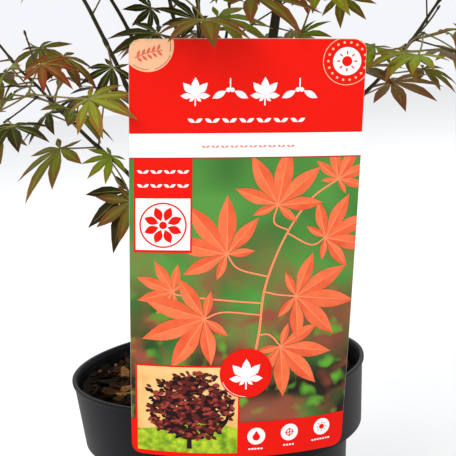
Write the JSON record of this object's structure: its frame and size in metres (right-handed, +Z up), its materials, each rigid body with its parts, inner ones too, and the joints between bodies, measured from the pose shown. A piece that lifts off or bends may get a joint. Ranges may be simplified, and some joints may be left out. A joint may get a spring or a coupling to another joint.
{
  "type": "potted japanese maple",
  "caption": "Young Japanese maple with deeply cut bronze and olive leaves in a tapered nursery pot, with a tall bent label card clipped to the rim.",
  "frame": {"origin": "centre of the pot's flat underside, which is at Z = 0", "axes": "+Z up along the pot's axis; the label card faces -Y, and +X is to the right of someone who reads it"},
  "size_m": [0.3813, 0.4403, 0.5894],
  "materials": {
    "pot_plastic": "matt charcoal grey",
    "compost": "dark compost under bark mulch",
    "bark": "smooth dark olive-brown young bark",
    "leaf": "satin bronze and olive leaves",
    "label_print": "glossy red print",
    "clip_plastic": "plain white"
  },
  "bodies": {
    "root": {"pot": "pot_plastic", "soil": "compost", "trunk": "bark", "bough_left_low": "bark", "bough_right": "bark", "bough_left": "bark", "bough_back": "bark", "bough_front": "bark", "bough_left_back": "bark", "bough_centre": "bark", "bough_front_right": "bark", "bough_right_back": "bark", "foliage_left_low": "leaf", "foliage_right": "leaf", "foliage_left": "leaf", "foliage_back": "leaf", "foliage_front": "leaf", "foliage_left_back": "leaf", "foliage_centre": "leaf", "foliage_front_right": "leaf", "foliage_right_back": "leaf", "foliage_leader": "leaf", "label_card": "label_print", "label_clip": "clip_plastic"}
  },
  "joints": []
}
